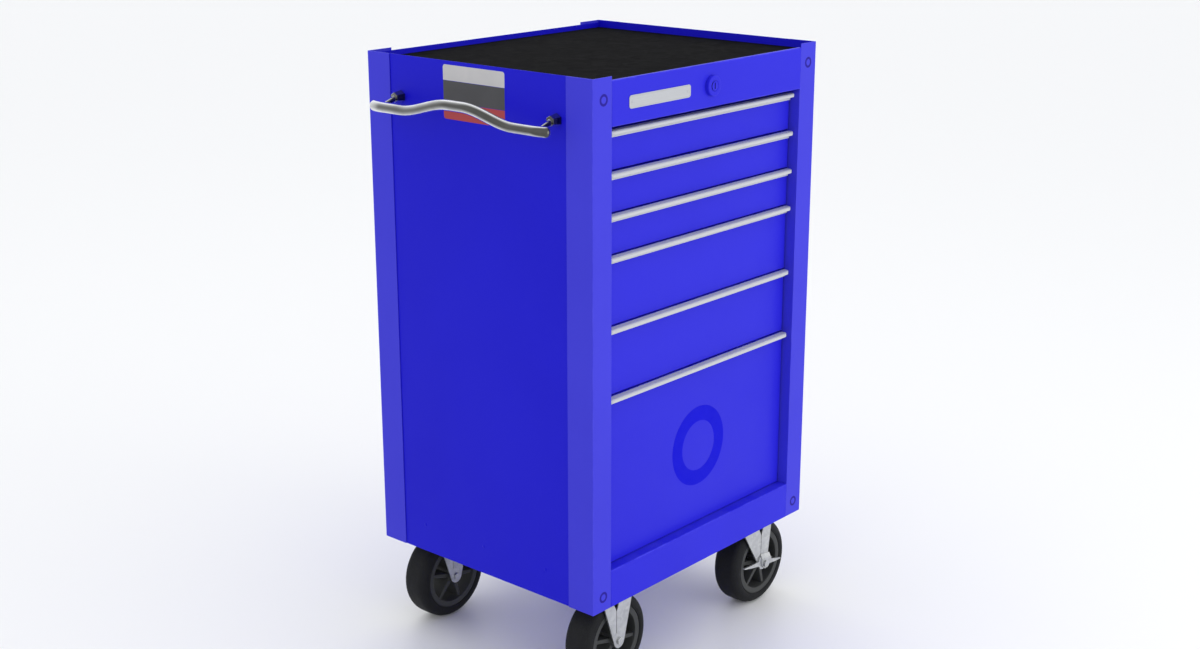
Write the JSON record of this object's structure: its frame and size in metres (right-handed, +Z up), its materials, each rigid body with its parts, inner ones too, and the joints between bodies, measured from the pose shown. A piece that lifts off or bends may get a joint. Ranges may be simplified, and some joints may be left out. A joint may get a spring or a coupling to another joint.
{
  "type": "rolling tool chest",
  "caption": "Tall sheet steel tool cabinet on casters, with full-width drawers, a key lock that bars them, a rubber-matted top and a push handle on one side.",
  "frame": {"origin": "middle of the floor under the whole outline, handle included", "axes": "+Z up, -Y towards the front where the drawers open, -X towards the side with the push handle"},
  "size_m": [0.72, 0.5656, 1.167],
  "materials": {
    "cabinet_paint": "satin powder coat",
    "post_paint": "satin powder coat",
    "pull_metal": "satin",
    "chrome": "polished",
    "mat_rubber": "matt",
    "tyre_rubber": "matt",
    "wheel_plastic": "matt",
    "zinc_plate": "zinc plated",
    "slide_steel": "galvanised"
  },
  "bodies": {
    "cabinet": {"left_side_panel": "cabinet_paint", "right_side_panel": "cabinet_paint", "front_left_post": "post_paint", "front_right_post": "post_paint", "rear_left_post": "post_paint", "rear_right_post": "post_paint", "header_panel": "cabinet_paint", "toe_rail": "cabinet_paint", "back_panel": "cabinet_paint", "base_pan": "cabinet_paint", "top_tray": "cabinet_paint", "top_mat": "mat_rubber", "left_slide_rack": "slide_steel", "right_slide_rack": "slide_steel", "lock_bezel": "cabinet_paint", "handle_tube": "chrome", "handle_bracket_front": "chrome", "handle_bracket_rear": "chrome", "front_right_caster_top_plate": "zinc_plate", "front_left_caster_frame": "zinc_plate", "front_left_caster_axle": "zinc_plate", "rear_right_caster_top_plate": "zinc_plate", "rear_left_caster_frame": "zinc_plate", "rear_left_caster_axle": "zinc_plate"},
    "drawer_1": {"drawer_1_front": "cabinet_paint", "drawer_1_box": "cabinet_paint", "drawer_1_pull": "pull_metal"},
    "drawer_2": {"drawer_2_front": "cabinet_paint", "drawer_2_box": "cabinet_paint", "drawer_2_pull": "pull_metal"},
    "drawer_3": {"drawer_3_front": "cabinet_paint", "drawer_3_box": "cabinet_paint", "drawer_3_pull": "pull_metal"},
    "drawer_4": {"drawer_4_front": "cabinet_paint", "drawer_4_box": "cabinet_paint", "drawer_4_pull": "pull_metal"},
    "drawer_5": {"drawer_5_front": "cabinet_paint", "drawer_5_box": "cabinet_paint", "drawer_5_pull": "pull_metal"},
    "drawer_6": {"drawer_6_front": "cabinet_paint", "drawer_6_box": "cabinet_paint", "drawer_6_pull": "pull_metal"},
    "lock_cylinder": {"lock_cylinder": "chrome"},
    "lock_bar": {"lock_bar": "slide_steel"},
    "front_right_fork": {"front_right_caster_fork": "zinc_plate", "front_right_caster_axle": "zinc_plate"},
    "front_right_wheel": {"front_right_caster_tyre": "tyre_rubber", "front_right_caster_wheel_core": "wheel_plastic"},
    "front_right_brake": {"front_right_caster_brake_lever": "zinc_plate"},
    "front_left_wheel": {"front_left_caster_tyre": "tyre_rubber", "front_left_caster_wheel_core": "wheel_plastic"},
    "rear_right_fork": {"rear_right_caster_fork": "zinc_plate", "rear_right_caster_axle": "zinc_plate"},
    "rear_right_wheel": {"rear_right_caster_tyre": "tyre_rubber", "rear_right_caster_wheel_core": "wheel_plastic"},
    "rear_right_brake": {"rear_right_caster_brake_lever": "zinc_plate"},
    "rear_left_wheel": {"rear_left_caster_tyre": "tyre_rubber", "rear_left_caster_wheel_core": "wheel_plastic"}
  },
  "joints": [
    {"name": "drawer_1_slide", "type": "slide", "parent": "cabinet", "child": "drawer_1", "axis": [0, -1, 0], "range_m": [0, 0.38]},
    {"name": "drawer_2_slide", "type": "slide", "parent": "cabinet", "child": "drawer_2", "axis": [0, -1, 0], "range_m": [0, 0.38]},
    {"name": "drawer_3_slide", "type": "slide", "parent": "cabinet", "child": "drawer_3", "axis": [0, -1, 0], "range_m": [0, 0.38]},
    {"name": "drawer_4_slide", "type": "slide", "parent": "cabinet", "child": "drawer_4", "axis": [0, -1, 0], "range_m": [0, 0.38]},
    {"name": "drawer_5_slide", "type": "slide", "parent": "cabinet", "child": "drawer_5", "axis": [0, -1, 0], "range_m": [0, 0.38]},
    {"name": "drawer_6_slide", "type": "slide", "parent": "cabinet", "child": "drawer_6", "axis": [0, -1, 0], "range_m": [0, 0.38]},
    {"name": "lock_turn", "type": "hinge", "parent": "cabinet", "child": "lock_cylinder", "pos_m": [0.028, -0.27525, 1.11942], "axis": [0, -1, 0], "range_deg": [0, 90]},
    {"name": "lock_bar_lift", "type": "slide", "parent": "cabinet", "child": "lock_bar", "axis": [0, 0, 1], "range_m": [0, 0.007]},
    {"name": "front_right_swivel", "type": "hinge", "parent": "cabinet", "child": "front_right_fork", "pos_m": [0.2414, -0.21525, 0.09002], "axis": [0, 0, 1], "continuous": true},
    {"name": "front_right_spin", "type": "hinge", "parent": "front_right_fork", "child": "front_right_wheel", "pos_m": [0.2674, -0.21525, 0.09002], "axis": [0, 1, 0], "continuous": true},
    {"name": "front_right_brake_rock", "type": "hinge", "parent": "front_right_fork", "child": "front_right_brake", "pos_m": [0.2674, -0.21525, 0.09002], "axis": [0, 1, 0], "range_deg": [-12, 12]},
    {"name": "front_left_spin", "type": "hinge", "parent": "cabinet", "child": "front_left_wheel", "pos_m": [-0.197, -0.21525, 0.09002], "axis": [0, 1, 0], "continuous": true},
    {"name": "rear_right_swivel", "type": "hinge", "parent": "cabinet", "child": "rear_right_fork", "pos_m": [0.2414, 0.22275, 0.09002], "axis": [0, 0, 1], "continuous": true},
    {"name": "rear_right_spin", "type": "hinge", "parent": "rear_right_fork", "child": "rear_right_wheel", "pos_m": [0.2674, 0.22275, 0.09002], "axis": [0, 1, 0], "continuous": true},
    {"name": "rear_right_brake_rock", "type": "hinge", "parent": "rear_right_fork", "child": "rear_right_brake", "pos_m": [0.2674, 0.22275, 0.09002], "axis": [0, 1, 0], "range_deg": [-12, 12]},
    {"name": "rear_left_spin", "type": "hinge", "parent": "cabinet", "child": "rear_left_wheel", "pos_m": [-0.197, 0.22275, 0.09002], "axis": [0, 1, 0], "continuous": true}
  ],
  "couplings": [
    {"joint": "lock_turn", "follows": "lock_bar_lift", "rad_per_m": 224.39}
  ]
}
